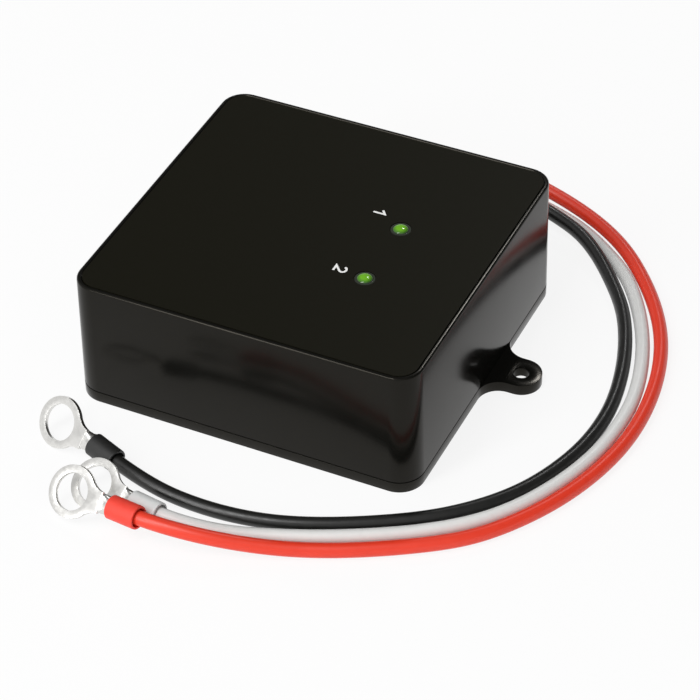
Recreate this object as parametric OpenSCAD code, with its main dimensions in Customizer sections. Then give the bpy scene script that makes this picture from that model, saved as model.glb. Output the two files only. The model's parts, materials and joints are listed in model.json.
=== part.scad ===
// Battery balancer: a closed moulded case with two mounting ears, two indicator
// lamps, and three free leads that end in sleeved ring terminals.
// Millimetres, +Z up, origin at the centre of the underside.

/* [Case] */
// Width of the case, without the ears
body_w = 70; // [68:1:90]
// Depth of the case, front to back
body_d = 68; // [66:1:90]
// Height of the closed case
body_h = 27; // [24:1:36]
// Radius of the upright corners
corner_r = 5; // [3:0.5:7]
// Thickness of the side walls
wall = 2; // [1.6:0.1:2.6]
// Thickness of the roof
roof = 2.2; // [1.8:0.1:3]
// Inward lean of each side wall at the top
draft = 0.27; // [0:0.01:0.5]
// Rounding of the top edge
edge_r = 0.4; // [0.3:0.1:1]

/* [Base and ears] */
// Thickness of the base plate and its ears
base_t = 2.2; // [1.6:0.1:3]
// From the side of the case to the centre of the ear's hole
ear_reach = 5.4; // [4.5:0.1:8]
// Place of the ears along the depth, from the middle
ear_y = 4; // [-10:0.5:12]
// Radius of the ear's round end
ear_r = 4; // [3:0.25:6]
// Diameter of the ear's screw hole
ear_hole_d = 3.2; // [2.6:0.1:4.5]
// Radius of the hollow corners where the ear meets the case
ear_root_r = 4.2; // [1:0.1:5]

/* [Top panel] */
// Thickness of the printed panel
panel_t = 0.4; // [0.2:0.05:0.8]
// Rim of the cover left bare round the panel
panel_rim = 0.5; // [0.4:0.1:3]

/* [Indicator lamps] */
// Diameter of a lamp's lens
led_d = 3; // [2.8:0.1:4]
// Place of the lamps along the width
led_x = 14.5; // [12:0.5:16]
// Place of the rear lamp along the depth
led_rear_y = 6; // [4:0.5:10]
// From the rear lamp to the front lamp
led_pitch = 16; // [12:0.5:20]

/* [Leads] */
// Outside diameter of a lead
lead_d = 2.8; // [2.4:0.1:3.2]
// From one lead to the next where they leave the case
lead_pitch = 3.4; // [3.4:0.1:4]
// Height at which the leads leave the case
lead_z = 9; // [8.8:0.1:10]

/* [Ring terminals] */
// Diameter of the hole for the battery stud
ring_hole_d = 6.9; // [5.3:0.1:8.4]
// Outside diameter of the ring
ring_d = 9.8; // [9.5:0.1:13]
// Thickness of the ring's sheet
ring_t = 0.8; // [0.6:0.1:1.2]
// Width of the neck behind the ring
neck_w = 4; // [3:0.1:4.4]
// Outside diameter of the crimp barrel
barrel_d = 3.6; // [3.2:0.1:4]
// Outside diameter of the insulating sleeve
sleeve_d = 4.5; // [4.4:0.1:5]

/* [Circuit board] */
// Thickness of the board
board_t = 1.6; // [1:0.1:2]
// Height of the base's posts under the board
post_h = 3; // [2.6:0.1:4]
// Outside diameter of the choke's core
core_d = 17.4; // [15:0.2:18]
// Height of the choke's core
core_h = 5; // [4:0.2:7]
// Turns of wire on the choke
turns = 18; // [8:1:20]
// Diameter of the choke's wire
wire_d = 0.8; // [0.5:0.1:0.8]

/* [Hidden] */

$fn = 48;
cut = 1;        // overrun of every cut
skin = 0.01;    // thickness of a slab inside a hull
fit = 0.1;      // gap between pieces that slide together
snug = 0.05;    // gap between pieces that grip each other

// Case: bosses, lip and screws
boss_d = 6;
boss_in = 3.3;       // from the inner wall to a boss centre
boss_rib_t = 1.2;
lip_t = 1.2;
lip_h = 1.2;
lip_fit = 0.2;
screw_d = 2.4;
screw_l = 9;
screw_head_d = 4.6;
screw_head_h = 1.4;
driver_d = 1.9;      // recess for the screwdriver
driver_h = 0.7;
boss_bore_h = 10;
seam_chamfer = 0.25; // cover's lower edge, along the parting line
rim_chamfer = 0.15;  // edge of the panel's recess

// Lamps
led_seat_d = 4.1;    // mouth of the hole in roof and panel
led_body_h = 6;
led_flange_d = 3.8;
led_flange_h = 1;
led_proud = 0.7;     // tip of the lens above the panel's face
led_leg_d = 0.5;
led_leg_pitch = 2.54;
spacer_d = 4.4;

// Grommet
grommet_w = 12;
grommet_h = 6;
flange_t = 1.2;
flange_rim = 1.4;
grommet_slack = 0.15; // between flange and wall, taken up by the draft

// Board and its screws
board_gap = 2;       // board to the inner wall
notch_gap = 0.6;     // board to a boss
post_d = 5;
post_in_x = 10;      // board edge to post centre, along the width
post_in_y = 3.6;
pin_screw_d = 1.9;
pin_screw_l = 4;
pin_head_d = 3.6;
pin_head_h = 1.2;
tail_in_y = 5;       // board edge to the lead pads
tail_bend_r = 2.2;
strand_d = 1.6;
joint_d = 3;
joint_h = 0.8;

// Choke
core_bore_d = 9.4;
core_edge_r = 1;
winding_gap = 0.2;   // wire to core
winding_arc = 330;   // degrees of the core that carry wire
winding_foot = 0.1;  // wire to board

// Parts on the board
fet_w = 10;
fet_l = 9;
fet_h = 4.4;
fet_gap = 3;
screw_gap = 1;       // board screw's head to the transistors' legs
fet_tab_l = 2;
fet_tab_t = 1.2;
pad_t = 0.5;
spreader_t = 2;
spreader_rim = 0.5;
fin_t = 1;
fin_h = 3;
fin_pitch = 3;
cap_d = 10;
cap_pitch = 12.4;
cap_headroom = 2;
cap_base_h = 1.6;
cap_groove = 0.5;
chip_t = 1.6;
chip_standoff = 0.1;
chip_body_w = 3.9;
chip_leg_span = 6;
chip_leg_w = 0.42;
chip_leg_t = 0.2;
chip_leg_pitch = 1.27;
control_legs = 8;    // along each side
driver_legs = 4;
shunt_w = 6.4;
shunt_l = 3.2;
shunt_t = 0.8;
shunt_pitch = 5;
fuse_w = 9;
fuse_l = 3.4;
fuse_h = 3;
fuse_cap_w = 1.6;
part_w = 1.25;
part_l = 2;
part_h = 0.6;
part_pitch = 3;

// Ring terminals, along their own axis from the ring's centre
barrel_near = 7.2;
barrel_far = 12.6;
neck_root_r = 4;
shoulder_l = 1.6;
shoulder_step = 0.1; // shoulder below the skin of plate and barrel
sleeve_near = 8;
sleeve_far = 14.1;
sleeve_edge_r = 0.3;
lead_run = 3.5;      // straight end of each lead in its sleeve

// Where each ring lies, and its heading, pitch and tilt in degrees
red_ring_at = [-19.5, -62.2, 4.9];
red_ring_turn = [171, -4, 47];
white_ring_at = [-17.5, -57.5, 3.5];
white_ring_turn = [169, -2.5, 38];
black_ring_at = [-31, -46.2, 4.35];
black_ring_turn = [160, 3, 54];

// Routes of the free leads, from the case to just short of the sleeve
red_route = [[-3.4, 34, 9], [-3.4, 41, 9], [-1.5, 49, 8], [4.5, 55, 7], [12.5, 57.5, 6],
    [22, 57, 4.5], [31.5, 54.5, 3.5], [39, 51, 3], [45.5, 46.5, 2.5], [51, 41, 1.5],
    [56.5, 33.5, 1.5], [61, 25, 1.5], [64, 15.5, 1.5], [65.5, 5.5, 1.5], [65.5, -5, 1.5],
    [63.5, -15, 1.5], [60, -24.5, 1.5], [55.5, -32.5, 1.5], [49.5, -40.5, 1.5],
    [41, -46.5, 1.5], [31.5, -52, 1.5], [22.5, -56, 1.5], [14, -59.5, 2.5], [4.5, -63, 4.5]];
white_route = [[0, 34, 9], [0, 40.5, 9], [2, 47.5, 7.5], [7, 52.5, 5.5], [14, 54.5, 3.5],
    [21.5, 54.5, 2], [28.5, 53, 1.5], [35.5, 50, 1.5], [43, 44.5, 1.5], [48.5, 39.5, 1.5],
    [53.5, 32, 1.5], [57.5, 24, 1.5], [60.5, 15.5, 1.5], [62.5, 6, 1.5], [62.5, -2, 1.5],
    [61.5, -11, 1.5], [58.5, -20.5, 1.5], [54, -29.5, 1.5], [48.5, -36.5, 1.5],
    [41, -42.5, 1.5], [32.5, -47.5, 1.5], [23.5, -52, 1.5], [14.5, -55.5, 1.5],
    [6.5, -58.5, 2]];
black_route = [[3.4, 34, 9], [3.4, 40.5, 9], [5, 46, 8.5], [9, 50, 7.5], [14.5, 51.5, 6],
    [22.5, 51.5, 4.5], [30, 49.5, 3.5], [36, 46.5, 3.5], [41.5, 42, 2.5], [46.5, 36.5, 1.5],
    [51.5, 29.5, 1.5], [55.5, 20, 1.5], [58, 11, 1.5], [59.5, 1.5, 1.5], [59, -8, 1.5],
    [57, -16, 1.5], [53.5, -24.5, 1.5], [48, -32, 1.5], [41, -38.5, 1.5], [33, -43.5, 1.5],
    [24.5, -48, 1.5], [15.5, -51.5, 1.5], [6.5, -53, 1.5], [-1.5, -53, 1.5], [-8.5, -52.5, 2]];

// Worked out from the sizes above
inner_w = body_w - 2 * wall;
inner_d = body_d - 2 * wall;
roof_z = body_h - roof;
boss_x = inner_w / 2 - boss_in;
boss_y = inner_d / 2 - boss_in;
board_w = inner_w - 2 * board_gap;
board_d = inner_d - 2 * board_gap;
board_z = base_t + post_h;
board_top = board_z + board_t;
post_x = board_w / 2 - post_in_x;
post_y = board_d / 2 - post_in_y;
pad_y = board_d / 2 - tail_in_y;
led_tip_z = body_h + led_proud;
led_foot_z = led_tip_z - led_body_h;
led_y = [led_rear_y, led_rear_y - led_pitch];
wall_y = body_d / 2;
core_x_share = -0.27;
fet_x_share = -0.19;
cap_share = [0.39, 0.1];
control_share = [0.05, 0.14];
driver_share = [0.08, -0.1];
shunt_share = [0.39, -0.25];
fuse_share = [-0.33, 0.31];
row_share = [0, 0.28];
column_share = [0.13, -0.3];

function on_board(share) = [share[0] * board_w, share[1] * board_d];

// The transistors stand just behind the front board screws, and the choke midway
// between them and the fuse
fet_at = [fet_x_share * board_w, pin_head_d / 2 - post_y + screw_gap + fet_tab_l + fet_l / 2];
fuse_at = on_board(fuse_share);
core_at = [core_x_share * board_w, (fet_at[1] + fet_l / 2 + fuse_at[1] - fuse_l / 2) / 2];
function unit(v) = v / norm(v);

// Shared shapes

module rounded_rect(w, d, r) {
    square([w - 2 * r, d], center = true);
    square([w, d - 2 * r], center = true);
    for (x = [-1, 1], y = [-1, 1])
        translate([x * (w / 2 - r), y * (d / 2 - r)]) circle(r);
}

module stadium(w, h) {
    square([w - h, h], center = true);
    for (x = [-1, 1]) translate([x * (w - h) / 2, 0]) circle(d = h);
}

// Slab of the case's outline, drawn in by inset
module slab(z, inset, t = skin) {
    translate([0, 0, z]) linear_extrude(t)
        rounded_rect(body_w - 2 * inset, body_d - 2 * inset,
            max(corner_r - inset, edge_r), $fn = 32);
}

module at_bosses() {
    for (x = [-1, 1], y = [-1, 1]) translate([x * boss_x, y * boss_y, 0]) children();
}

module at_posts() {
    for (x = [-1, 1], y = [-1, 1]) translate([x * post_x, y * post_y, 0]) children();
}

// Tube of radius r along a path, with each ring's up direction given
module tube(path, ups, r, sides) {
    n = len(path);
    ahead = [for (i = [0:n - 1]) unit(path[min(i + 1, n - 1)] - path[max(i - 1, 0)])];
    points = [for (i = [0:n - 1])
        let (side = unit(cross(ahead[i], ups[i])), up = cross(side, ahead[i]))
        for (k = [0:sides - 1])
            let (a = 360 * (k + 1 / 2) / sides)
            path[i] + r * (cos(a) * side + sin(a) * up)];
    first_cap = [for (k = [0:sides - 1]) k];
    last_cap = [for (k = [sides - 1:-1:0]) (n - 1) * sides + k];
    quads = [for (i = [0:n - 2], k = [0:sides - 1])
        let (j = (k + 1) % sides)
        [i * sides + j, i * sides + k, (i + 1) * sides + k, (i + 1) * sides + j]];
    triangles = [for (q = quads) each [[q[0], q[1], q[2]], [q[0], q[2], q[3]]]];
    polyhedron(points, concat([first_cap, last_cap], triangles), convexity = 8);
}

// Case

// Outer form: straight draft, then a rounded top edge
module case_form() {
    hull() {
        slab(base_t, seam_chamfer);
        slab(base_t + seam_chamfer, 0);
        for (a = [0, 30, 60, 90])
            slab(body_h - edge_r * (1 - sin(a)) - skin, draft + edge_r * (1 - cos(a)));
    }
}

module cover() {
    color("#24241f") difference() {
        union() {
            difference() {
                case_form();
                hull() {
                    slab(base_t - cut, wall);
                    slab(roof_z - skin, wall + draft);
                }
            }
            at_bosses() translate([0, 0, base_t]) cylinder(h = roof_z - base_t + skin, d = boss_d);
            for (x = [-1, 1], y = [-1, 1]) {
                translate([x * boss_x, y * boss_y - boss_rib_t / 2, base_t + lip_h])
                    mirror([x < 0 ? 1 : 0, 0, 0])
                        cube([boss_in + wall / 2, boss_rib_t, roof_z - base_t - lip_h]);
                translate([x * boss_x - boss_rib_t / 2, y * boss_y, base_t + lip_h])
                    mirror([0, y < 0 ? 1 : 0, 0])
                        cube([boss_rib_t, boss_in + wall / 2, roof_z - base_t - lip_h]);
            }
        }
        at_bosses() translate([0, 0, base_t - cut])
            cylinder(h = boss_bore_h + cut, d = screw_d + 2 * snug);
        translate([0, 0, body_h - panel_t]) linear_extrude(panel_t + cut)
            panel_outline(0);
        hull() {
            translate([0, 0, body_h - rim_chamfer]) linear_extrude(skin) panel_outline(0);
            translate([0, 0, body_h]) linear_extrude(skin) panel_outline(-rim_chamfer);
        }
        for (y = led_y) translate([led_x, y, 0]) {
            translate([0, 0, roof_z - cut]) cylinder(h = roof + cut, d = led_d + 2 * fit);
            translate([0, 0, body_h - panel_t - (led_seat_d - led_d) / 2])
                cylinder(h = (led_seat_d - led_d) / 2 + skin, d1 = led_d + 2 * fit,
                    d2 = led_seat_d);
        }
        translate([0, wall_y + cut, lead_z]) rotate([90, 0, 0])
            linear_extrude(wall + 2 * cut) stadium(grommet_w + 2 * fit, grommet_h + 2 * fit);
    }
}

// Outline of the panel, drawn in by a gap
module panel_outline(gap) {
    inset = draft + edge_r + panel_rim + gap;
    rounded_rect(body_w - 2 * inset, body_d - 2 * inset, max(corner_r - inset, edge_r));
}

module top_panel() {
    color("#1c1b13") translate([0, 0, body_h - panel_t]) linear_extrude(panel_t)
        difference() {
            panel_outline(fit);
            for (y = led_y) translate([led_x, y]) circle(d = led_seat_d);
        }
}

// Ear outline on the +X side: round end, straight neck and hollow root corners
module ear() {
    reach = body_w / 2 + ear_reach;
    root = body_w / 2 + ear_root_r;
    translate([reach, ear_y]) circle(ear_r);
    translate([0, ear_y - ear_r]) square([reach, 2 * ear_r]);
    for (side = [-1, 1]) difference() {
        translate([root - (ear_root_r + wall) / 2, ear_y + side * (ear_r + ear_root_r / 2 - skin)])
            square([ear_root_r + wall, ear_root_r + 2 * skin], center = true);
        translate([root, ear_y + side * (ear_r + ear_root_r)]) circle(ear_root_r);
    }
}

module base_plate() {
    color("#20201d") difference() {
        union() {
            linear_extrude(base_t) {
                rounded_rect(body_w, body_d, corner_r);
                ear();
                mirror([1, 0]) ear();
            }
            for (y = [-1, 1])
                translate([0, y * (inner_d / 2 - lip_fit - lip_t / 2), base_t + lip_h / 2 - skin])
                    cube([2 * (boss_x - boss_d), lip_t, lip_h + 2 * skin], center = true);
            for (x = [-1, 1])
                translate([x * (inner_w / 2 - lip_fit - lip_t / 2), 0, base_t + lip_h / 2 - skin])
                    cube([lip_t, 2 * (boss_y - boss_d), lip_h + 2 * skin], center = true);
            at_posts() translate([0, 0, base_t - skin]) cylinder(h = post_h + skin, d = post_d);
        }
        for (x = [-1, 1]) translate([x * (body_w / 2 + ear_reach), ear_y, -cut])
            cylinder(h = base_t + 2 * cut, d = ear_hole_d);
        at_bosses() {
            translate([0, 0, -cut]) cylinder(h = base_t + 2 * cut, d = screw_d + 4 * fit);
            translate([0, 0, -skin]) cylinder(h = screw_head_h + skin,
                d1 = screw_head_d + 2 * fit, d2 = screw_d + 2 * fit);
        }
        at_posts() translate([0, 0, base_t + skin])
            cylinder(h = post_h + cut, d = pin_screw_d + 2 * snug);
    }
}

// Countersunk screw, head down at z = 0
module case_screws() {
    color("#8c8c8a") at_bosses() difference() {
        union() {
            cylinder(h = screw_head_h, d1 = screw_head_d, d2 = screw_d);
            cylinder(h = screw_l, d = screw_d);
        }
        for (turn = [0, 90]) rotate(turn) translate([0, 0, driver_h / 2 - skin])
            cube([driver_d, driver_h, driver_h + 2 * skin], center = true);
    }
}

// Lamps

module led(y) {
    lens_r = led_d / 2;
    color("#7ab51d") translate([led_x, y, 0]) {
        translate([0, 0, led_foot_z]) {
            cylinder(h = led_flange_h, d = led_flange_d);
            cylinder(h = led_body_h - lens_r, r = lens_r);
        }
        translate([0, 0, led_tip_z - lens_r]) sphere(lens_r);
        for (x = [-1, 1]) translate([x * led_leg_pitch / 2, 0, board_z - joint_h])
            cylinder(h = led_foot_z - board_z + joint_h + skin, d = led_leg_d);
    }
}

module led_1() {
    led(led_y[0]);
}

module led_2() {
    led(led_y[1]);
}

module led_spacers() {
    color("#e8e6dd") for (y = led_y) translate([led_x, y, board_top]) difference() {
        cylinder(h = led_foot_z - board_top, d = spacer_d);
        for (x = [-1, 1]) translate([x * led_leg_pitch / 2, 0, -cut])
            cylinder(h = led_foot_z - board_top + 2 * cut, d = led_leg_d + 2 * fit);
    }
}

// Lead exit

module lead_grommet() {
    body_l = wall + 2 * flange_t + grommet_slack;
    color("#161616") difference() {
        translate([0, wall_y + flange_t, lead_z]) rotate([90, 0, 0]) {
            linear_extrude(body_l) stadium(grommet_w, grommet_h);
            for (z = [0, body_l - flange_t]) translate([0, 0, z]) linear_extrude(flange_t)
                stadium(grommet_w + 2 * flange_rim, grommet_h + 2 * flange_rim);
        }
        for (i = [-1, 0, 1]) translate([i * lead_pitch, wall_y + flange_t + cut, lead_z])
            rotate([90, 0, 0]) cylinder(h = body_l + 2 * cut, d = lead_d + 2 * fit);
    }
}

// Lead inside the case: through the grommet, then down into the board
module lead_tail(i) {
    run = wall_y - pad_y - tail_bend_r;
    drop = lead_z - tail_bend_r - board_top;
    translate([i * lead_pitch, 0, 0]) {
        translate([0, wall_y, lead_z]) rotate([90, 0, 0]) cylinder(h = run, d = lead_d);
        translate([0, pad_y + tail_bend_r, lead_z - tail_bend_r]) rotate([0, 90, 180])
            rotate([0, 0, 90]) rotate_extrude(angle = 90) translate([tail_bend_r, 0])
                circle(d = lead_d);
        translate([0, pad_y, board_top - skin / 2]) cylinder(h = drop + skin, d = lead_d);
        translate([0, pad_y, board_z - joint_h]) cylinder(h = board_t + joint_h, d = strand_d);
    }
}

module red_lead_tail() {
    color("#e0341f") lead_tail(-1);
}

module white_lead_tail() {
    color("#e9e9e4") lead_tail(0);
}

module black_lead_tail() {
    color("#1a1a18") lead_tail(1);
}

module lead_joints() {
    color("#b9bcc0") translate([0, 0, board_z - joint_h]) {
        for (i = [-1, 0, 1]) translate([i * lead_pitch, pad_y, 0]) difference() {
            cylinder(h = joint_h, d1 = strand_d + joint_h, d2 = joint_d);
            translate([0, 0, -cut]) cylinder(h = joint_h + 2 * cut, d = strand_d + 2 * snug);
        }
        for (y = led_y, x = [-1, 1]) translate([led_x + x * led_leg_pitch / 2, y, 0])
            difference() {
                cylinder(h = joint_h, d1 = led_leg_d + joint_h / 2, d2 = led_leg_d + joint_h);
                translate([0, 0, -cut]) cylinder(h = joint_h + 2 * cut, d = led_leg_d + 2 * snug);
            }
    }
}

// Circuit board

module circuit_board() {
    notch = boss_d / 2 + notch_gap;
    color("#1f5a34") translate([0, 0, board_z]) linear_extrude(board_t) difference() {
        square([board_w, board_d], center = true);
        for (x = [-1, 1], y = [-1, 1]) translate([x * boss_x, y * boss_y]) {
            circle(notch);
            translate([x * notch / 2, 0]) square([notch, 2 * notch], center = true);
            translate([0, y * notch / 2]) square([2 * notch, notch], center = true);
        }
        for (x = [-1, 1], y = [-1, 1]) translate([x * post_x, y * post_y])
            circle(d = pin_screw_d + 4 * fit);
        for (i = [-1, 0, 1]) translate([i * lead_pitch, pad_y]) circle(d = strand_d + 2 * fit);
        for (y = led_y, x = [-1, 1]) translate([led_x + x * led_leg_pitch / 2, y])
            circle(d = led_leg_d + 2 * fit);
        for (p = [winding_path[0], winding_path[len(winding_path) - 1]])
            translate([p[0], p[1]]) circle(d = wire_d + 2 * fit);
    }
}

// Pan head screw on the board, into a post
module board_screws() {
    color("#9a9a97") at_posts() translate([0, 0, board_top]) difference() {
        union() {
            cylinder(h = pin_head_h, d = pin_head_d);
            translate([0, 0, -pin_screw_l]) cylinder(h = pin_screw_l + skin, d = pin_screw_d);
        }
        for (turn = [0, 90]) rotate(turn) translate([0, 0, pin_head_h])
            cube([driver_d, driver_h / 2, driver_h], center = true);
    }
}

// Choke

core_mid_r = (core_d + core_bore_d) / 4;
core_half_w = (core_d - core_bore_d) / 4;
winding_r = winding_gap + wire_d / 2;              // core's face to the wire's centre
winding_corner = core_edge_r + winding_r;
core_z = board_top + winding_foot + wire_d + winding_gap + core_h / 2;

// Place on the rounded loop round the core's section, for a step of a turn
loop_steps = 12;
function loop_point(step) =
    let (quarter = floor(step / 3) % 4, a = 90 * quarter + 45 * (step % 3),
         dx = quarter == 0 || quarter == 3 ? 1 : -1, dz = quarter < 2 ? 1 : -1)
    [dx * (core_half_w - core_edge_r) + winding_corner * cos(a),
     dz * (core_h / 2 - core_edge_r) + winding_corner * sin(a)];
function wound(p, turn) =
    [core_at[0] + (core_mid_r + p[0]) * cos(turn), core_at[1] + (core_mid_r + p[0]) * sin(turn),
     core_z + p[1]];
last_step = loop_steps * (turns - 1) + loop_steps / 2;
function turn_of(step) = winding_arc * step / last_step;
winding_foot_z = board_z - joint_h / 2 - core_z;
winding_path = concat(
    [wound([loop_point(0)[0], winding_foot_z], turn_of(0))],
    [for (s = [0:last_step]) wound(loop_point(s), turn_of(s))],
    [wound([loop_point(loop_steps / 2)[0], winding_foot_z], turn_of(last_step))]);
winding_ups = [for (p = winding_path)
    let (a = atan2(p[1] - core_at[1], p[0] - core_at[0])) [-sin(a), cos(a), 0]];

module inductor_core() {
    color("#c9b53a") translate([core_at[0], core_at[1], core_z]) rotate_extrude()
        translate([core_mid_r, 0]) rounded_rect(2 * core_half_w, core_h, core_edge_r);
}

module inductor_winding() {
    n = len(winding_path);
    echo(winding_least_gap = min([for (i = [0:n - 1], j = [i + loop_steps / 2:1:n - 1])
        norm(winding_path[i] - winding_path[j])]) - wire_d);
    color("#b5652b") tube(winding_path, winding_ups, wire_d / 2, 6);
}

// Power stage

spreader_w = 2 * fet_w + fet_gap + 2 * spreader_rim;
spreader_l = fet_l - fet_tab_l;

module power_transistors() {
    color("#2a2a2c") for (x = [-1, 1])
        translate([fet_at[0] + x * (fet_w + fet_gap) / 2, fet_at[1], board_top]) {
            translate([-fet_w / 2, -fet_l / 2, 0]) cube([fet_w, fet_l - fet_tab_l, fet_h]);
            translate([-fet_w / 2 + fet_tab_t, fet_l / 2 - fet_tab_l - skin, 0])
                cube([fet_w - 2 * fet_tab_t, fet_tab_l + skin, fet_tab_t]);
            for (i = [-1, 0, 1]) translate([i * chip_leg_pitch * 2 - fet_tab_t / 2,
                -fet_l / 2 - fet_tab_l, 0]) cube([fet_tab_t, fet_tab_l + skin, fet_tab_t / 2]);
        }
}

module over_transistors(z, t, rim) {
    translate([fet_at[0] - spreader_w / 2 + rim, fet_at[1] - fet_l / 2 + rim, z])
        cube([spreader_w - 2 * rim, spreader_l - 2 * rim, t]);
}

module thermal_pad() {
    color("#8fa3b8") over_transistors(board_top + fet_h, pad_t, spreader_rim);
}

module heat_spreader() {
    z = board_top + fet_h + pad_t;
    fins = floor((spreader_w - fin_t) / fin_pitch);
    color("#b4b6b8") {
        over_transistors(z, spreader_t, 0);
        for (i = [0:fins])
            translate([fet_at[0] - spreader_w / 2 + i * (spreader_w - fin_t) / fins,
                fet_at[1] - fet_l / 2, z + spreader_t - skin])
                cube([fin_t, spreader_l, fin_h + skin]);
    }
}

module bulk_capacitors() {
    at = on_board(cap_share);
    h = roof_z - board_top - cap_headroom;
    color("#23282e") for (y = [-1, 1])
        translate([at[0], at[1] + y * cap_pitch / 2, board_top])
            rotate_extrude() polygon([[0, 0], [cap_d / 2, 0], [cap_d / 2, cap_base_h],
                [cap_d / 2 - cap_groove, cap_base_h + cap_groove],
                [cap_d / 2, cap_base_h + 2 * cap_groove], [cap_d / 2, h - cap_groove],
                [cap_d / 2 - cap_groove, h], [0, h]]);
}

// Chips and small parts

// Gull-wing chip with a row of legs along each long side
module chip(share, legs) {
    at = on_board(share);
    body_l = legs * chip_leg_pitch;
    translate([at[0], at[1], board_top]) {
        translate([-chip_body_w / 2, -body_l / 2, chip_standoff])
            cube([chip_body_w, body_l, chip_t]);
        for (side = [-1, 1], i = [0:legs - 1])
            translate([0, (i - (legs - 1) / 2) * chip_leg_pitch, 0]) {
                translate([side * (chip_body_w + chip_leg_span) / 4, 0, chip_leg_t / 2])
                    cube([(chip_leg_span - chip_body_w) / 2, chip_leg_w, chip_leg_t],
                        center = true);
                translate([side * (chip_body_w / 2 + chip_leg_t / 2 - skin), 0, chip_t / 4])
                    cube([chip_leg_t, chip_leg_w, chip_t / 2], center = true);
            }
    }
}

module control_chip() {
    color("#2b2b2d") chip(control_share, control_legs);
}

module driver_chip() {
    color("#303032") chip(driver_share, driver_legs);
}

module shunt_resistors() {
    at = on_board(shunt_share);
    color("#3a3d40") for (y = [-1, 1])
        translate([at[0], at[1] + y * shunt_pitch / 2, board_top + shunt_t / 2])
            cube([shunt_w, shunt_l, shunt_t], center = true);
}

module fuse_link() {
    color("#d8d6cc") translate([fuse_at[0], fuse_at[1], board_top + fuse_h / 2]) {
        cube([fuse_w - fuse_cap_w, fuse_l - 2 * fit, fuse_h - 2 * fit], center = true);
        for (x = [-1, 1]) translate([x * (fuse_w - fuse_cap_w) / 2, 0, 0])
            cube([fuse_cap_w, fuse_l, fuse_h], center = true);
    }
}

module chip_parts() {
    row = on_board(row_share);
    column = on_board(column_share);
    color("#b9a98a") {
        for (i = [-2:2]) translate([row[0] + i * part_pitch, row[1], board_top + part_h / 2])
            cube([part_w, part_l, part_h], center = true);
        for (i = [-1:1]) translate([column[0], column[1] + i * part_pitch, board_top + part_h / 2])
            cube([part_l, part_w, part_h], center = true);
    }
}

// Ring terminals, sleeves and free leads

function ring_ahead(turn) = [cos(turn[0]) * cos(turn[1]), sin(turn[0]) * cos(turn[1]),
    sin(turn[1])];
function ring_side(turn) = [-sin(turn[0]), cos(turn[0]), 0];
function ring_up(turn) = sin(turn[2]) * ring_side(turn)
    + cos(turn[2]) * cross(ring_ahead(turn), ring_side(turn));
barrel_drop = barrel_d / 2 - ring_t / 2;
function barrel_end(at, turn) = at - barrel_far * ring_ahead(turn)
    - barrel_drop * ring_up(turn);

module as_ring(at, turn) {
    translate(at) rotate([0, 0, turn[0]]) rotate([0, -turn[1], 0]) rotate([-turn[2], 0, 0])
        children();
}

// Ring with its neck and the hollow corners between them, flat on z = 0
module ring_outline() {
    root_x = sqrt(pow(ring_d / 2 + neck_root_r - 2 * skin, 2)
        - pow(neck_w / 2 + neck_root_r, 2));
    circle(d = ring_d);
    translate([-barrel_near + shoulder_l / 2, -neck_w / 2])
        square([barrel_near - shoulder_l / 2, neck_w]);
    intersection() {
        for (side = [-1, 1]) difference() {
            polygon([[0, 0], [-root_x, side * (neck_w / 2 + neck_root_r)], [-root_x, 0]]);
            translate([-root_x, side * (neck_w / 2 + neck_root_r)]) circle(neck_root_r);
        }
        translate([-barrel_near + shoulder_l / 2, -ring_d])
            square([barrel_near, 2 * ring_d]);
    }
}

module terminal(at, turn) {
    color("#d9d7d2") as_ring(at, turn) difference() {
        union() {
            translate([0, 0, -ring_t / 2]) linear_extrude(ring_t) ring_outline();
            translate([-barrel_far, 0, -barrel_drop]) rotate([0, 90, 0])
                cylinder(h = barrel_far - barrel_near, d = barrel_d);
            hull() {
                translate([shoulder_l - barrel_near, 0, 0])
                    cube([skin, neck_w - 2 * shoulder_step, ring_t - 2 * shoulder_step],
                        center = true);
                translate([-barrel_near - shoulder_l / 2, 0, -barrel_drop])
                    rotate([0, 90, 0])
                        cylinder(h = skin, d = barrel_d - 2 * shoulder_step, $fn = 32);
            }
        }
        translate([0, 0, -ring_t]) cylinder(h = 2 * ring_t, d = ring_hole_d, $fn = 64);
    }
}

// Sleeve over the barrel, open behind round the lead
module sleeve(at, turn) {
    inner_r = barrel_d / 2 + snug;
    outer_r = sleeve_d / 2;
    as_ring(at, turn) translate([-sleeve_far, 0, -barrel_drop]) rotate([0, 90, 0])
        rotate_extrude() difference() {
            translate([inner_r, 0]) square([outer_r - inner_r, sleeve_far - sleeve_near]);
            translate([outer_r - sleeve_edge_r / 2, 0]) difference() {
                translate([0, -sleeve_edge_r]) square([sleeve_edge_r, 2 * sleeve_edge_r]);
                translate([0, sleeve_edge_r]) scale([1 / 2, 1]) circle(sleeve_edge_r);
                translate([-sleeve_edge_r, sleeve_edge_r]) square(2 * sleeve_edge_r);
            }
        }
}

module free_lead(route, at, turn) {
    end = barrel_end(at, turn);
    path = concat(route, [end - lead_run * ring_ahead(turn), end]);
    tube(path, [for (p = path) [0, 0, 1]], lead_d / 2, 8);
}

module red_terminal() {
    terminal(red_ring_at, red_ring_turn);
}

module white_terminal() {
    terminal(white_ring_at, white_ring_turn);
}

module black_terminal() {
    terminal(black_ring_at, black_ring_turn);
}

module red_sleeve() {
    color("#f0412c") sleeve(red_ring_at, red_ring_turn);
}

module white_sleeve() {
    color("#e6e8e6") sleeve(white_ring_at, white_ring_turn);
}

module black_sleeve() {
    color("#2a2a29") sleeve(black_ring_at, black_ring_turn);
}

module red_lead() {
    color("#e8371f") free_lead(red_route, red_ring_at, red_ring_turn);
}

module white_lead() {
    color("#ececea") free_lead(white_route, white_ring_at, white_ring_turn);
}

module black_lead() {
    color("#1c1c1a") free_lead(black_route, black_ring_at, black_ring_turn);
}

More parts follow.
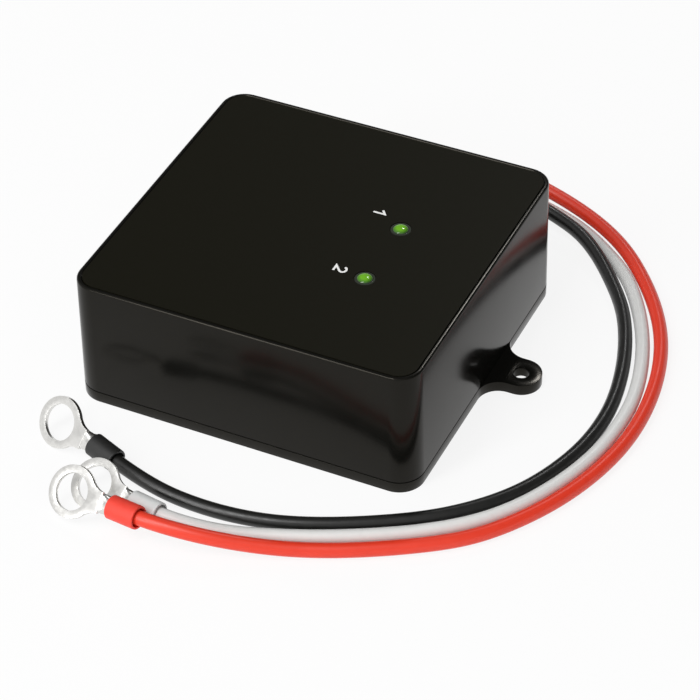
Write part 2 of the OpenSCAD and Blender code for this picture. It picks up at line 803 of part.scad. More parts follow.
cover();
top_panel();
base_plate();
case_screws();
led_1();
led_2();
led_spacers();
lead_grommet();
circuit_board();
board_screws();
inductor_core();
inductor_winding();
power_transistors();
thermal_pad();
heat_spreader();
bulk_capacitors();
control_chip();
driver_chip();
shunt_resistors();
fuse_link();
chip_parts();
lead_joints();
red_lead_tail();
white_lead_tail();
black_lead_tail();
red_lead();
white_lead();
black_lead();
red_terminal();
white_terminal();
black_terminal();
red_sleeve();
white_sleeve();
black_sleeve();
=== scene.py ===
# %% [markdown]
# # A battery balancer with three ring-terminal leads
# The real object is a small closed box of moulded black plastic, seven centimetres
# wide, with a printed panel and two green lamps on top. Three soft leads come out of
# its back, sweep round its side and end in tinned ring terminals in front.
# The solid model is already made and packed, so it is loaded first and used as a fixed
# frame: every piece made below sits where that model says.

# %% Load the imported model
import json
import math

import bmesh
import bpy
from mathutils import Matrix, Vector


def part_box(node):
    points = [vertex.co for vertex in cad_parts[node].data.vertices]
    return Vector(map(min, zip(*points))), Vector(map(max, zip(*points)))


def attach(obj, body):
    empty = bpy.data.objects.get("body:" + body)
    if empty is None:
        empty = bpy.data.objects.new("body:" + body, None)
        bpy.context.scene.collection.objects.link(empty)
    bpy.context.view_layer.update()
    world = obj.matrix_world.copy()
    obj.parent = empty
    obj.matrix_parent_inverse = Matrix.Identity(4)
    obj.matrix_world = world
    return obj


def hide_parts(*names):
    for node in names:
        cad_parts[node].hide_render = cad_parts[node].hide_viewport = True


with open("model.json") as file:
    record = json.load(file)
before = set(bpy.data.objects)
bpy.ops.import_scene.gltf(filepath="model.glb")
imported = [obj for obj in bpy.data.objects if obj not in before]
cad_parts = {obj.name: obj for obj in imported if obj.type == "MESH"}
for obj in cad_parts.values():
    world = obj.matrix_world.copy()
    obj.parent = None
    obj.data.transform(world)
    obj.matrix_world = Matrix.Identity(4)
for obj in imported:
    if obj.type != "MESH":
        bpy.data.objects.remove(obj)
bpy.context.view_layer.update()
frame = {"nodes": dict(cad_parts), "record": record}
NODES = frame["nodes"]
print("solid pieces loaded:", len(NODES))

# %% [markdown]
# ## Units, colours and one helper for materials
# Blender works in metres, and a small product is easier to think of in millimetres, so
# MM turns one into the other. Colours are written as sRGB hex, the way a colour picker
# shows them, and turned to the linear values that a shader needs. One function adds a
# shader node, sets its inputs and links it.

# %% Millimetres, colours and nodes
MM = 0.001


def linear(hex_colour):
    """sRGB hex such as "#24241f" to a linear RGBA colour."""
    parts = [int(hex_colour[i:i + 2], 16) / 255 for i in (1, 3, 5)]
    return [p / 12.92 if p <= 0.04045 else ((p + 0.055) / 1.055) ** 2.4 for p in parts] + [1]


def add_node(tree, kind, links=None, props=None, **inputs):
    """Adds a node. props are its settings, inputs its socket values, links its sources."""
    node = tree.nodes.new(kind)
    for name, value in (props or {}).items():
        setattr(node, name, value)
    for name, value in inputs.items():
        node.inputs[name.replace("_", " ")].default_value = value
    for name, source in (links or {}).items():
        tree.links.new(source, node.inputs[name])
    return node


def new_material(name):
    """An empty material and its Principled shader, linked to the output."""
    material = bpy.data.materials.new(name)
    material.use_nodes = True
    tree = material.node_tree
    tree.nodes.clear()
    shader = tree.nodes.new("ShaderNodeBsdfPrincipled")
    output = tree.nodes.new("ShaderNodeOutputMaterial")
    tree.links.new(shader.outputs["BSDF"], output.inputs["Surface"])
    return material, tree, shader


# %% [markdown]
# ## The camera
# The picture was taken from the front right and well above, with a long lens, so the
# box shows almost no perspective. The lens, the angle and the distance were worked out
# from the edges of the box and from where its lamps, its ear, the rings and the leads
# lie. The camera's axes are built as three vectors, which keeps the small roll of the
# picture.

# %% Camera at the picture's angle
FRAME_PX = 700
SENSOR_MM = 36
FOCAL_PX = 2883
NEAR_M, FAR_M = 0.01, 20
AZIMUTH, ELEVATION, ROLL = (math.radians(a) for a in (25.77, 40.46, -1.04))
DISTANCE_MM, ACROSS_MM, UP_MM = 558.2, 5.75, -2.54

toward = Vector((math.sin(AZIMUTH) * math.cos(ELEVATION),
                 -math.cos(AZIMUTH) * math.cos(ELEVATION), math.sin(ELEVATION)))
across = Vector((0, 0, 1)).cross(toward).normalized()
upward = toward.cross(across)
camera_x = across * math.cos(ROLL) + upward * math.sin(ROLL)
camera_y = upward * math.cos(ROLL) - across * math.sin(ROLL)
camera_place = (across * ACROSS_MM + upward * UP_MM + toward * DISTANCE_MM) * MM

lens = bpy.data.cameras.new("picture_camera")
lens.sensor_width = SENSOR_MM
lens.lens = FOCAL_PX * SENSOR_MM / FRAME_PX
lens.clip_start, lens.clip_end = NEAR_M, FAR_M
camera = bpy.data.objects.new("picture_camera", lens)
camera.matrix_world = Matrix.Translation(camera_place) @ Matrix(
    (camera_x, camera_y, toward)).transposed().to_4x4()
bpy.context.scene.collection.objects.link(camera)
bpy.context.scene.camera = camera
print("camera at, in mm:", [round(c / MM, 1) for c in camera_place])

# %% [markdown]
# ## Surface grain
# No real surface is perfectly even. A moulded wall is a little wavy, a jacket is finely
# pebbled and a stamped sheet is brushed by its die. One noise pattern stands for this:
# it tilts the surface a little, through Bump, and makes it a little more or less rough.
# Its scale comes from the real size of the grain, and coordinates are in metres. Noise
# values lie mostly between 0.3 and 0.7, so that range is spread over the roughness.


# %% Grain in bump and roughness
NOISE_LOW, NOISE_HIGH = 0.3, 0.7
NOISE_DETAIL = 3


def grain(tree, shader, size_mm, depth_mm, rough_low, rough_high, stretch=(1, 1, 1)):
    """Noise of a real size that drives the bump and the roughness. Returns the noise."""
    coords = add_node(tree, "ShaderNodeTexCoord")
    spread = add_node(tree, "ShaderNodeMapping", {"Vector": coords.outputs["Object"]},
                      Scale=stretch)
    noise = add_node(tree, "ShaderNodeTexNoise", {"Vector": spread.outputs["Vector"]},
                     Scale=1 / (size_mm * MM), Detail=NOISE_DETAIL)
    bump = add_node(tree, "ShaderNodeBump", {"Height": noise.outputs["Fac"]},
                    Strength=1, Distance=depth_mm * MM)
    rough = add_node(tree, "ShaderNodeMapRange", {"Value": noise.outputs["Fac"]},
                     From_Min=NOISE_LOW, From_Max=NOISE_HIGH,
                     To_Min=rough_low, To_Max=rough_high)
    tree.links.new(bump.outputs["Normal"], shader.inputs["Normal"])
    tree.links.new(rough.outputs["Result"], shader.inputs["Roughness"])
    return noise


def two_tones(tree, shader, noise, dark, light):
    """Colour that wanders between two close tones with the noise."""
    tones = add_node(tree, "ShaderNodeMix", {"Factor": noise.outputs["Fac"]},
                     {"data_type": "RGBA"})
    # the colour sockets share their names with others, so they are found by number
    tones.inputs[6].default_value = linear(dark)
    tones.inputs[7].default_value = linear(light)
    tree.links.new(tones.outputs[2], shader.inputs["Base Color"])


# %% [markdown]
# ## Soft PVC
# The jackets of the leads and the sleeves on their terminals are soft PVC: the jacket
# is extruded and a little waxy, the sleeve is dip moulded and duller. The white sleeve
# has no pigment, so some light goes through it and it looks grey-white.


# %% Jackets and sleeves
PVC_IOR = 1.53
PEBBLE_DEPTH = 1 / 150  # of the size of a pebble


def soft_polymer(name, dark, light, size_mm, rough_low, rough_high, level=0.5):
    """PVC, vinyl, silicone or rubber: finely pebbled and a little waxy."""
    material, tree, shader = new_material(name)
    noise = grain(tree, shader, size_mm, size_mm * PEBBLE_DEPTH, rough_low, rough_high)
    two_tones(tree, shader, noise, dark, light)
    shader.inputs["IOR"].default_value = PVC_IOR
    shader.inputs["Specular IOR Level"].default_value = level
    return material


def clear_vinyl():
    """Natural vinyl sleeve: lets some of the light through, so it looks grey-white."""
    material, tree, shader = new_material("natural_vinyl_sleeve")
    noise = grain(tree, shader, size_mm=0.9, depth_mm=0.015, rough_low=0.35, rough_high=0.5)
    two_tones(tree, shader, noise, "#eceeed", "#f2f4f3")
    shader.inputs["IOR"].default_value = PVC_IOR
    shader.inputs["Transmission Weight"].default_value = 0.15
    return material


FINISHES = {
    "red_pvc": soft_polymer("red_pvc_jacket", "#e8381f", "#ed3e24", 1.6, 0.34, 0.4),
    "black_pvc": soft_polymer("black_pvc_jacket", "#131312", "#191917", 1.2, 0.28, 0.4),
    "white_pvc": soft_polymer("white_pvc_jacket", "#e2e2e0", "#eaeae8", 1.2, 0.3, 0.42),
    "red_vinyl": soft_polymer("red_vinyl_sleeve", "#ea3d2d", "#f24737", 0.9, 0.42, 0.55, 0.4),
    "black_vinyl": soft_polymer("black_vinyl_sleeve", "#181817", "#1f1f1e", 0.9, 0.45, 0.58),
    "white_vinyl": clear_vinyl(),
}
print("finishes for leads and sleeves:", sorted(FINISHES))

# %% [markdown]
# ## The three leads
# Each lead is stranded copper in a soft PVC jacket. They leave the grommet straight,
# sink to the bench a few centimetres on, lie on it round the right side, and rise a
# little at the end to meet the tilted terminals. The points are the same as in the
# solid model. A cubic NURBS curve follows them with a curvature that never jumps, as a
# springy lead does, and the last two points lie on the axis of the terminal's barrel.

# %% Places of the terminals and the ends of the leads
LEAD_D = 2.8
BARREL_FAR, BARREL_DROP, LEAD_RUN = 12.6, 1.4, 3.5
RINGS = {  # centre of the ring in mm, then heading, pitch and tilt in degrees
    "red": ((-19.5, -62.2, 4.9), (171, -4, 47)),
    "white": ((-17.5, -57.5, 3.5), (169, -2.5, 38)),
    "black": ((-31, -46.2, 4.35), (160, 3, 54)),
}


def ring_frame(colour):
    """Centre of the ring in mm, its heading and the direction square to its face."""
    centre, turn = RINGS[colour]
    heading, pitch, tilt = (math.radians(a) for a in turn)
    ahead = Vector((math.cos(heading) * math.cos(pitch),
                    math.sin(heading) * math.cos(pitch), math.sin(pitch)))
    level = Vector((-math.sin(heading), math.cos(heading), 0))
    normal = math.sin(tilt) * level + math.cos(tilt) * ahead.cross(level)
    return Vector(centre), ahead, normal


ROUTES = {
    "red": [(-3.4, 34, 9), (-3.4, 41, 9), (-1.5, 49, 8), (4.5, 55, 7), (12.5, 57.5, 6),
            (22, 57, 4.5), (31.5, 54.5, 3.5), (39, 51, 3), (45.5, 46.5, 2.5), (51, 41, 1.5),
            (56.5, 33.5, 1.5), (61, 25, 1.5), (64, 15.5, 1.5), (65.5, 5.5, 1.5),
            (65.5, -5, 1.5), (63.5, -15, 1.5), (60, -24.5, 1.5), (55.5, -32.5, 1.5),
            (49.5, -40.5, 1.5), (41, -46.5, 1.5), (31.5, -52, 1.5), (22.5, -56, 1.5),
            (14, -59.5, 2.5), (4.5, -63, 4.5)],
    "white": [(0, 34, 9), (0, 40.5, 9), (2, 47.5, 7.5), (7, 52.5, 5.5), (14, 54.5, 3.5),
              (21.5, 54.5, 2), (28.5, 53, 1.5), (35.5, 50, 1.5), (43, 44.5, 1.5),
              (48.5, 39.5, 1.5), (53.5, 32, 1.5), (57.5, 24, 1.5), (60.5, 15.5, 1.5),
              (62.5, 6, 1.5), (62.5, -2, 1.5), (61.5, -11, 1.5), (58.5, -20.5, 1.5),
              (54, -29.5, 1.5), (48.5, -36.5, 1.5), (41, -42.5, 1.5), (32.5, -47.5, 1.5),
              (23.5, -52, 1.5), (14.5, -55.5, 1.5), (6.5, -58.5, 2)],
    "black": [(3.4, 34, 9), (3.4, 40.5, 9), (5, 46, 8.5), (9, 50, 7.5), (14.5, 51.5, 6),
              (22.5, 51.5, 4.5), (30, 49.5, 3.5), (36, 46.5, 3.5), (41.5, 42, 2.5),
              (46.5, 36.5, 1.5), (51.5, 29.5, 1.5), (55.5, 20, 1.5), (58, 11, 1.5),
              (59.5, 1.5, 1.5), (59, -8, 1.5), (57, -16, 1.5), (53.5, -24.5, 1.5),
              (48, -32, 1.5), (41, -38.5, 1.5), (33, -43.5, 1.5), (24.5, -48, 1.5),
              (15.5, -51.5, 1.5), (6.5, -53, 1.5), (-1.5, -53, 1.5), (-8.5, -52.5, 2)],
}


def lead_points(colour):
    """The lead's route with its straight end in the barrel, in metres."""
    centre, ahead, normal = ring_frame(colour)
    end = centre - BARREL_FAR * ahead - BARREL_DROP * normal
    route = [Vector(p) for p in ROUTES[colour]] + [end - LEAD_RUN * ahead, end]
    return [p * MM for p in route]


# %% Curves for the leads
ROUND_STEPS, RUN_STEPS = 8, 12  # added to each half round the tube, and between points
CUBIC_ORDER = 4


def smooth_curve(name, points, radius):
    """A round tube along one smooth spline that follows the points."""
    curve = bpy.data.curves.new(name, "CURVE")
    curve.dimensions = "3D"
    curve.bevel_depth = radius
    curve.bevel_resolution = ROUND_STEPS
    curve.resolution_u = RUN_STEPS
    curve.use_fill_caps = True
    spline = curve.splines.new("NURBS")
    spline.points.add(len(points) - 1)
    for knot, p in zip(spline.points, points):
        knot.co = (*p, 1)
    spline.order_u = CUBIC_ORDER
    spline.use_endpoint_u = True
    obj = bpy.data.objects.new(name, curve)
    bpy.context.scene.collection.objects.link(obj)
    return obj


for colour in RINGS:
    lead = smooth_curve(colour + "_lead_jacket", lead_points(colour), LEAD_D / 2 * MM)
    lead.data.materials.append(FINISHES[colour + "_pvc"])
    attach(lead, "root")
    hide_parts(colour + "_lead")

# %% [markdown]
# ## Softer edges on the solid pieces
# A moulded edge is never a knife edge: it has a radius of a tenth or two of a
# millimetre, and that radius catches a thin line of light. The solid model has sharp
# corners there, so a Bevel modifier rounds them. A small node group in a second
# modifier joins the facets and shades the curved walls smooth, and keeps every edge
# over 40 degrees crisp. Modifiers leave the solid's own mesh as it is.

# %% Node group for smooth walls and crisp edges
CRISP_ANGLE = math.radians(40)
WELD_MM = 0.001

smoothing = bpy.data.node_groups.new("smooth_walls", "GeometryNodeTree")
smoothing.is_modifier = True
for side in ("INPUT", "OUTPUT"):
    smoothing.interface.new_socket("Geometry", in_out=side, socket_type="NodeSocketGeometry")
entry = add_node(smoothing, "NodeGroupInput")
angle = add_node(smoothing, "GeometryNodeInputMeshEdgeAngle")
crisp = add_node(smoothing, "ShaderNodeMath", {0: angle.outputs["Unsigned Angle"]},
                 {"operation": "GREATER_THAN"})
crisp.inputs[1].default_value = CRISP_ANGLE
shade = add_node(smoothing, "GeometryNodeSetMeshNormal",
                 {"Mesh": entry.outputs["Geometry"], "Edge Sharpness": crisp.outputs[0]},
                 {"mode": "SHARPNESS"}, Remove_Custom=True)
add_node(smoothing, "NodeGroupOutput", {"Geometry": shade.outputs["Mesh"]})

# %% Round the edges of the moulded and stamped pieces
EDGE_MM = {"base_plate": 0.12, "lead_grommet": 0.4, "red_terminal": 0.08,
           "white_terminal": 0.08, "black_terminal": 0.08, "case_screws": 0.1,
           "bulk_capacitors": 0.2, "power_transistors": 0.15, "control_chip": 0.05,
           "driver_chip": 0.05, "heat_spreader": 0.1, "fuse_link": 0.2}
EDGE_SEGMENTS = 3

for name, node in NODES.items():
    weld = node.modifiers.new("join_facets", "WELD")
    weld.merge_threshold = WELD_MM * MM
    if name in EDGE_MM:
        bevel = node.modifiers.new("soft_edge", "BEVEL")
        bevel.width = EDGE_MM[name] * MM
        bevel.segments = EDGE_SEGMENTS
        bevel.limit_method = "ANGLE"
        bevel.angle_limit = CRISP_ANGLE
    node.modifiers.new("smooth_walls", "NODES").node_group = smoothing
print("pieces with rounded edges:", len(EDGE_MM))

# %% [markdown]
# ## Moulded plastics and rubber
# The case is ABS from a polished mould. Black ABS takes almost no light into itself, so
# nearly all that is seen on it is mirrored: the paper round it, the leads and the ear.
# The specular level is lower than clean ABS gives, which keeps the sides as dark as they
# are on the real case. The panel is a polyester film with a satin face, printed black
# from behind, and it mirrors far less.


# %% Case, base, panel and grommet
PLASTIC_IOR = 1.5


def polished_abs(name, dark, light, level):
    """ABS from a polished mould: sharp but faintly wavy reflections."""
    material, tree, shader = new_material(name)
    noise = grain(tree, shader, size_mm=9, depth_mm=0.006, rough_low=0.15, rough_high=0.2)
    two_tones(tree, shader, noise, dark, light)
    shader.inputs["IOR"].default_value = PLASTIC_IOR
    shader.inputs["Specular IOR Level"].default_value = level
    shader.inputs["Specular Tint"].default_value = linear("#fff6e6")
    return material


def satin_film():
    """Polyester film printed black from behind: dark, with a soft wide gloss."""
    material, tree, shader = new_material("printed_polyester_film")
    noise = grain(tree, shader, size_mm=0.5, depth_mm=0.002, rough_low=0.38, rough_high=0.46)
    two_tones(tree, shader, noise, "#15140c", "#17160e")
    shader.inputs["IOR"].default_value = PLASTIC_IOR
    shader.inputs["Specular IOR Level"].default_value = 0.06
    return material


FINISHES.update({
    "case_plastic": polished_abs("polished_black_abs", "#0d0d0b", "#11110f", 0.17),
    "base_plastic": polished_abs("moulded_black_abs", "#10100e", "#151513", 0.2),
    "panel_film": satin_film(),
    "black_rubber": soft_polymer("black_nitrile_rubber", "#141413", "#1b1b19", 0.6, 0.5, 0.65),
    "spacer_nylon": soft_polymer("natural_nylon", "#dedbd0", "#eae7dd", 0.8, 0.35, 0.5),
    "pad_silicone": soft_polymer("grey_silicone_pad", "#7f93a8", "#8fa3b8", 0.3, 0.6, 0.75),
    "capacitor_sleeve": soft_polymer("shrunk_pet_sleeve", "#20252b", "#272c33", 1.5, 0.2, 0.3),
})
print("finishes with the plastics:", len(FINISHES))

# %% [markdown]
# ## Metals
# The ring terminals are stamped from copper sheet and tinned. Tin is bright but not a
# mirror, because the stamping leaves fine marks. The screws are zinc-plated steel, the
# heat spreader is extruded aluminium, and the choke is wound with enamelled copper.


# %% Tinned, plated and bare metals
MARK_DEPTH = 1 / 600  # of the size of a mark


def worked_metal(name, dark, light, size_mm, rough_low, rough_high, stretch=(1, 1, 1)):
    """Metal with fine marks from stamping, plating, extruding or drawing."""
    material, tree, shader = new_material(name)
    noise = grain(tree, shader, size_mm, size_mm * MARK_DEPTH, rough_low, rough_high, stretch)
    two_tones(tree, shader, noise, dark, light)
    shader.inputs["Metallic"].default_value = 1
    return material


FINISHES.update({
    "tin": worked_metal("tinned_copper", "#dcdbd8", "#e4e3e0", 0.7, 0.28, 0.36),
    "screw_steel": worked_metal("zinc_plated_steel", "#a3a4a5", "#b7b8b9", 0.4, 0.28, 0.42),
    "spreader_aluminium": worked_metal("extruded_aluminium", "#b9bbbd", "#c9cbcd", 0.3,
                                       0.3, 0.45, (1, 0.05, 1)),
    "copper_wire": worked_metal("enamelled_copper", "#a8552a", "#bc6834", 0.8, 0.2, 0.32),
})
print("finishes with the metals:", len(FINISHES))

# %% [markdown]
# ## Board and its parts
# These sit inside the closed case, but they are finished as what they are: green solder
# mask over glass fibre, sintered iron powder with a yellow coat, black moulded epoxy
# and a white ceramic.


# %% Board, core, chips and ceramic
TRACK_MM, TRACK_GAP = 8, 0.04
GRAIN_DEPTH = 1 / 25  # of the size of a grain


def glass_board():
    """Solder mask over copper tracks: green, a little lighter where a track runs."""
    material, tree, shader = new_material("fr4_solder_mask")
    noise = grain(tree, shader, size_mm=0.3, depth_mm=0.004, rough_low=0.25, rough_high=0.4)
    coords = add_node(tree, "ShaderNodeTexCoord")
    tracks = add_node(tree, "ShaderNodeTexBrick", {"Vector": coords.outputs["Object"]},
                      Scale=1 / (TRACK_MM * MM), Mortar_Size=TRACK_GAP,
                      Color1=linear("#1c5230"), Color2=linear("#1f5a34"),
                      Mortar=linear("#2f7646"))
    tree.links.new(tracks.outputs["Color"], shader.inputs["Base Color"])
    shader.inputs["IOR"].default_value = PLASTIC_IOR
    return material


def fired_or_cast(name, dark, light, size_mm, rough_low, rough_high):
    """Sintered, cast or fired piece: dull, with a fine grain."""
    material, tree, shader = new_material(name)
    noise = grain(tree, shader, size_mm, size_mm * GRAIN_DEPTH, rough_low, rough_high)
    two_tones(tree, shader, noise, dark, light)
    return material


FINISHES.update({
    "board_green": glass_board(),
    "core_yellow": fired_or_cast("coated_iron_powder", "#bba733", "#d0bc42", 0.5, 0.5, 0.65),
    "chip_black": fired_or_cast("moulded_epoxy", "#252527", "#303032", 0.2, 0.55, 0.7),
    "ceramic": fired_or_cast("fired_ceramic", "#cbc8bc", "#dcdacf", 0.3, 0.4, 0.55),
})
print("finishes with the board:", len(FINISHES))

# %% [markdown]
# ## Lamp lenses
# A 3 mm lamp has a lens of tinted epoxy cast over a lit chip. This one has a shallow
# dome that hardly rises over the panel, inside a dark collar of resin that fills the
# countersunk mouth of its hole. A lathe profile gives dome, collar and flange in one
# sweep, and two wire legs go down to the board. The lens has painted light in its
# colour: a faint painted glow, lighter in its middle, and painted shade that darkens
# its rim. The distance from the axis is measured in the lamp's own box, so both lamps
# share the material.

# %% Green epoxy
COLLAR_D, LENS_D = 3.9, 3
# the collar's dark grey, then the rim darkened as painted shade, then the middle lightened as
# painted light
COLLAR_AND_PAINTED_LIGHT_STOPS = [(0, "#31352e"), (0.06, "#2f5a12"), (0.5, "#68a822")]  # collar, rim, middle
# the lens's emission is a painted glow
PAINTED_GLOW = 0.15
EPOXY_IOR = 1.53


def epoxy_with_painted_light():
    """Green epoxy lens with painted light: lighter along its axis, darker at its rim as painted
    shade, and a faint painted glow.
    """
    material, tree, shader = new_material("green_epoxy_painted_light")
    grain(tree, shader, size_mm=0.6, depth_mm=0.001, rough_low=0.08, rough_high=0.14)
    coords = add_node(tree, "ShaderNodeTexCoord")
    share = COLLAR_D / LENS_D * 2
    across_lens = add_node(tree, "ShaderNodeMapping", {"Vector": coords.outputs["Generated"]},
                           Location=(-share / 2, -share / 2, 0), Scale=(share, share, 0))
    middle = add_node(tree, "ShaderNodeTexGradient", {"Vector": across_lens.outputs["Vector"]},
                      {"gradient_type": "SPHERICAL"})
    ramp = add_node(tree, "ShaderNodeValToRGB", {"Fac": middle.outputs["Fac"]})
    ramp.color_ramp.elements.new(COLLAR_AND_PAINTED_LIGHT_STOPS[-1][0])
    for element, (place, colour) in zip(ramp.color_ramp.elements, COLLAR_AND_PAINTED_LIGHT_STOPS):
        element.position = place
        element.color = linear(colour)
    # the painted tones give both the colour and the painted glow
    tree.links.new(ramp.outputs["Color"], shader.inputs["Base Color"])
    tree.links.new(ramp.outputs["Color"], shader.inputs["Emission Color"])
    shader.inputs["Emission Strength"].default_value = PAINTED_GLOW
    shader.inputs["IOR"].default_value = EPOXY_IOR
    return material


FINISHES["lamp_green"] = epoxy_with_painted_light()
print("finishes with the lenses:", len(FINISHES))

# %% Turn the lenses
DOME_RISE, COLLAR_SINK, COLLAR_H = 0.4, 0.12, 0.5
FLANGE_D, FLANGE_H = 3.8, 1
LEG_D, LEG_PITCH, LEG_SIDES = 0.5, 2.54, 12
TURNS, DOME_STEPS = 48, 8


def turned_lamp(name, node):
    """Dome, collar and flange from one profile round the axis, with two legs below."""
    low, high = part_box(node)
    x, y = (low[0] + high[0]) / 2, (low[1] + high[1]) / 2
    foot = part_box("led_spacers")[1][2] / MM
    panel_low, panel_high = (corner[2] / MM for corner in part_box("top_panel"))
    rim = panel_high - COLLAR_SINK
    profile = [(0, foot), (FLANGE_D / 2, foot), (FLANGE_D / 2, foot + FLANGE_H),
               (LENS_D / 2, foot + FLANGE_H), (LENS_D / 2, panel_low - COLLAR_H),
               (COLLAR_D / 2, panel_low), (COLLAR_D / 2, rim)]
    for step in range(DOME_STEPS + 1):
        turn = math.pi / 2 * step / DOME_STEPS
        profile.append((LENS_D / 2 * math.cos(turn),
                        rim + (DOME_RISE + COLLAR_SINK) * math.sin(turn)))
    shape = bmesh.new()
    verts = [shape.verts.new((r * MM, 0, z * MM)) for r, z in profile]
    edges = [shape.edges.new(pair) for pair in zip(verts, verts[1:])]
    bmesh.ops.spin(shape, geom=verts + edges, cent=(0, 0, 0), axis=(0, 0, 1),
                   angle=2 * math.pi, steps=TURNS)
    leg_h = foot * MM - low[2]
    for side in (-1, 1):
        place = Matrix.Translation((side * LEG_PITCH / 2 * MM, 0, low[2] + leg_h / 2))
        bmesh.ops.create_cone(shape, cap_ends=True, segments=LEG_SIDES, depth=leg_h,
                              radius1=LEG_D / 2 * MM, radius2=LEG_D / 2 * MM, matrix=place)
    bmesh.ops.remove_doubles(shape, verts=shape.verts, dist=WELD_MM * MM)
    bmesh.ops.recalc_face_normals(shape, faces=shape.faces)
    bmesh.ops.translate(shape, verts=shape.verts, vec=(x, y, 0))
    mesh = bpy.data.meshes.new(name)
    shape.to_mesh(mesh)
    shape.free()
    mesh.shade_smooth()
    mesh.set_sharp_from_angle(angle=CRISP_ANGLE)
    lamp = bpy.data.objects.new(name, mesh)
    bpy.context.scene.collection.objects.link(lamp)
    return lamp


for node in ("led_1", "led_2"):
    lamp = turned_lamp(node + "_lens", node)
    lamp.data.materials.append(FINISHES["lamp_green"])
    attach(lamp, "root")
    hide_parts(node)
    print(lamp.name, "rises over the panel by, in mm:", DOME_RISE)

# %% [markdown]
# ## Finishes onto the pieces
# The record of the solid model names a finish for each piece. Each one now gets the
# material made for it.


# %% Assign the finishes
def dress(obj, finish):
    """Puts one material on the whole of an object."""
    obj.data.materials.clear()
    obj.data.materials.append(FINISHES[finish])


for part in frame["record"]["subparts"]:
    dress(NODES[part["node"]], part["material_slot"])
print("finishes:", len(FINISHES))

# %% [markdown]
# ## Numbers by the lamps
# A plain 1 and 2 are screen-printed in white beside the lamps. A font's 1 is too thin
# to read at this size, so each numeral is one stroke of even width along a few points,
# as a draughtsman's stencil draws it. Ink is about a fiftieth of a millimetre thick,
# and the stroke gets that thickness. The tops point to the right side of the box.

# %% Printed numerals
INK_T_MM = 0.02
NUMERAL_H_MM, STROKE_MM = 2.8, 0.42
NUMERALS = {"1": (9, 8.9), "2": (9.3, -9.4)}
BOW_W, BOW_H, BOW_Y = 0.27, 0.25, 0.66  # half axes and height of the bow of the 2
BOW_TURNS = [math.radians(turn) for turn in range(170, -31, -20)]  # from left to right
BOW = [(BOW_W * math.cos(turn), BOW_Y + BOW_H * math.sin(turn)) for turn in BOW_TURNS]
STROKES = {  # in heights of the numeral, from the middle of its foot
    "1": [(-0.32, 0.56), (0.04, 0.84), (0.04, 0.0)],
    "2": BOW + [(-0.25, 0.09), (0.3, 0.09)],
}


def screen_ink():
    """White screen ink: matt and a little uneven."""
    material, tree, shader = new_material("white_screen_ink")
    noise = grain(tree, shader, size_mm=0.2, depth_mm=0.002, rough_low=0.5, rough_high=0.65)
    two_tones(tree, shader, noise, "#f0f0ee", "#fafaf8")
    return material


def inked_stroke(name, points):
    """A flat stroke of even width along the points, mitred at each turn."""
    points = [Vector((x, y, 0)) * NUMERAL_H_MM for x, y in points]
    runs = [(b - a).normalized() for a, b in zip(points, points[1:])]
    shape = bmesh.new()
    rails = []
    for point, before, after in zip(points, runs[:1] + runs, runs + runs[-1:]):
        square, next_square = (Vector((-run.y, run.x, 0)) for run in (before, after))
        mitre = (square + next_square).normalized()
        reach = mitre * STROKE_MM / 2 / mitre.dot(square)
        rails.append([shape.verts.new((point + turn * reach) * MM) for turn in (1, -1)])
    for (left, right), (next_left, next_right) in zip(rails, rails[1:]):
        shape.faces.new((left, right, next_right, next_left))
    top = bmesh.ops.extrude_face_region(shape, geom=shape.faces[:])["geom"]
    bmesh.ops.translate(shape, vec=(0, 0, INK_T_MM * MM),
                        verts=[v for v in top if isinstance(v, bmesh.types.BMVert)])
    bmesh.ops.recalc_face_normals(shape, faces=shape.faces)
    mesh = bpy.data.meshes.new(name)
    shape.to_mesh(mesh)
    shape.free()
    glyph = bpy.data.objects.new(name, mesh)
    bpy.context.scene.collection.objects.link(glyph)
    return glyph


FINISHES["screen_ink"] = screen_ink()
panel_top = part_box("top_panel")[1][2]
for numeral, (x, y) in NUMERALS.items():
    glyph = inked_stroke("numeral_" + numeral, STROKES[numeral])
    glyph.rotation_euler.z = -math.pi / 2
    glyph.location = ((x - NUMERAL_H_MM / 2) * MM, y * MM, panel_top)
    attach(glyph, "root")
    dress(glyph, "screen_ink")
    print(glyph.name, "is as high, in mm, as", NUMERAL_H_MM)

# %% [markdown]
# ## Floor, room and lamps
# The object stands on plain white paper. To the camera and to reflections a share of
# the floor is lit paper, which keeps the shadow, and the rest is plain white. The room
# is white all round at eye level, a little less bright to the front left, and dark
# behind and overhead, so the tinned rings look bright and the roof of the case stays
# dark. A tall strip of light in front draws the line along the front edge, and two
# small lamps give the highlights on the leads and the lenses.

# %% White floor
SHADOW_SHARE = 0.13
FLOOR_R, FLOOR_SIDES = 4, 64
FLOOR_DROP_MM = 0.02  # keeps the paper clear of the underside
floor_mesh = bpy.data.meshes.new("paper_floor")
sheet = bmesh.new()
bmesh.ops.create_circle(sheet, cap_ends=True, radius=FLOOR_R, segments=FLOOR_SIDES)
sheet.to_mesh(floor_mesh)
sheet.free()
floor = bpy.data.objects.new("paper_floor", floor_mesh)
floor.location.z = -FLOOR_DROP_MM * MM
bpy.context.scene.collection.objects.link(floor)

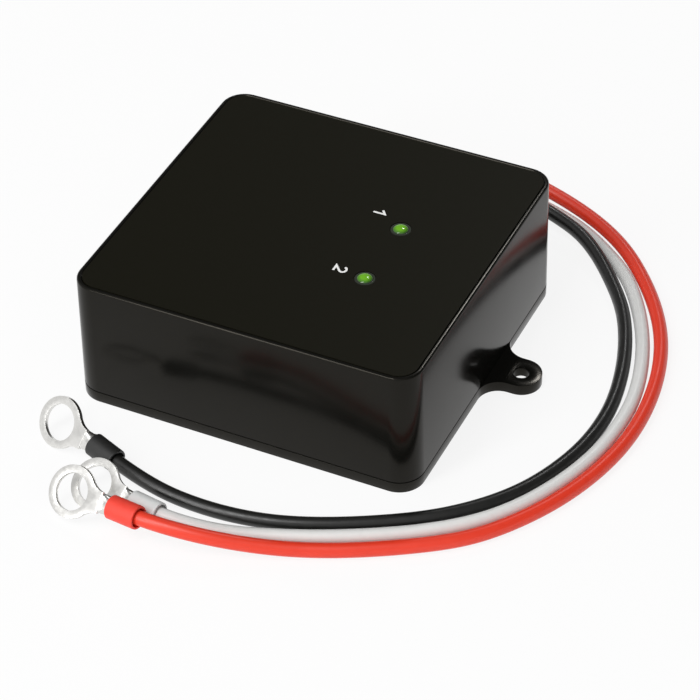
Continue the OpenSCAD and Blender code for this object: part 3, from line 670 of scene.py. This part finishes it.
paper, tree, shader = new_material("white_paper")
shader.inputs["Base Color"].default_value = linear("#fbfbfb")
shader.inputs["Roughness"].default_value = 1
shader.inputs["Specular IOR Level"].default_value = 0
path = add_node(tree, "ShaderNodeLightPath")
seen = add_node(tree, "ShaderNodeMath", {0: path.outputs["Is Camera Ray"],
                                         1: path.outputs["Is Glossy Ray"]},
                {"operation": "ADD"})
seen = add_node(tree, "ShaderNodeMath", {0: seen.outputs[0],
                                         1: path.outputs["Is Transmission Ray"]},
                {"operation": "ADD", "use_clamp": True})
share = add_node(tree, "ShaderNodeMath", {0: seen.outputs[0]}, {"operation": "MULTIPLY"})
share.inputs[1].default_value = 1 - SHADOW_SHARE
glow = add_node(tree, "ShaderNodeEmission", Color=(1, 1, 1, 1), Strength=1)
mix = add_node(tree, "ShaderNodeMixShader", {0: share.outputs[0],
                                             1: shader.outputs["BSDF"],
                                             2: glow.outputs["Emission"]})
tree.links.new(mix.outputs[0], tree.nodes["Material Output"].inputs["Surface"])
floor_mesh.materials.append(paper)
print("floor across, in m:", 2 * FLOOR_R)

# %% Room light
WINDOW = Vector((-0.411, -0.881, 0.235))  # towards the bright side of the room
WINDOW_EDGE, WINDOW_FULL = -0.1, 0.5  # cosine of the angle from the bright side
BAND_LOW, BAND_HIGH = 0.15, 0.3  # sine of the height at which the white band fades
BRIGHT_SIDE, DARK_ROOM = 0.65, 0.12

world = bpy.data.worlds.new("studio_room")
world.use_nodes = True
tree = world.node_tree
tree.nodes.clear()
place = add_node(tree, "ShaderNodeTexCoord")
facing = add_node(tree, "ShaderNodeVectorMath", {0: place.outputs["Generated"]},
                  {"operation": "DOT_PRODUCT"})
facing.inputs[1].default_value = WINDOW
front = add_node(tree, "ShaderNodeMapRange", {"Value": facing.outputs["Value"]},
                 From_Min=WINDOW_EDGE, From_Max=WINDOW_FULL,
                 To_Min=DARK_ROOM, To_Max=BRIGHT_SIDE)
height = add_node(tree, "ShaderNodeSeparateXYZ", {"Vector": place.outputs["Generated"]})
band = add_node(tree, "ShaderNodeMapRange", {"Value": height.outputs["Z"]},
                From_Min=BAND_LOW, From_Max=BAND_HIGH, To_Min=1, To_Max=DARK_ROOM)
level = add_node(tree, "ShaderNodeMath", {0: front.outputs["Result"], 1: band.outputs["Result"]},
                 {"operation": "MAXIMUM"})
room = add_node(tree, "ShaderNodeBackground", {"Strength": level.outputs[0]},
                Color=(1, 1, 1, 1))
add_node(tree, "ShaderNodeOutputWorld", {"Surface": room.outputs["Background"]})
bpy.context.scene.world = world
print("room light, bright side and dark side:", BRIGHT_SIDE, DARK_ROOM)


# %% Soft lamps
def soft_lamp(name, direction, wide, tall, strength):
    """A rectangular lamp a metre away that looks at the object from a direction."""
    lamp = bpy.data.lights.new(name, "AREA")
    lamp.shape = "RECTANGLE"
    lamp.size, lamp.size_y = wide, tall
    lamp.energy = strength
    obj = bpy.data.objects.new(name, lamp)
    back = Vector(direction).normalized()
    obj.location = back
    obj.rotation_mode = "QUATERNION"
    obj.rotation_quaternion = back.to_track_quat("Z", "Y")
    bpy.context.scene.collection.objects.link(obj)
    print(name, "gives", strength, "W")


soft_lamp("front_strip_box", (-0.31, -0.64, 0.70), 0.2, 1.2, 6.2)
soft_lamp("front_small_box", (-0.06, -0.54, 0.84), 0.08, 0.08, 0.8)
soft_lamp("rear_small_box", (-0.11, 0.70, 0.71), 0.08, 0.08, 0.8)
bpy.context.scene.view_settings.view_transform = "Standard"
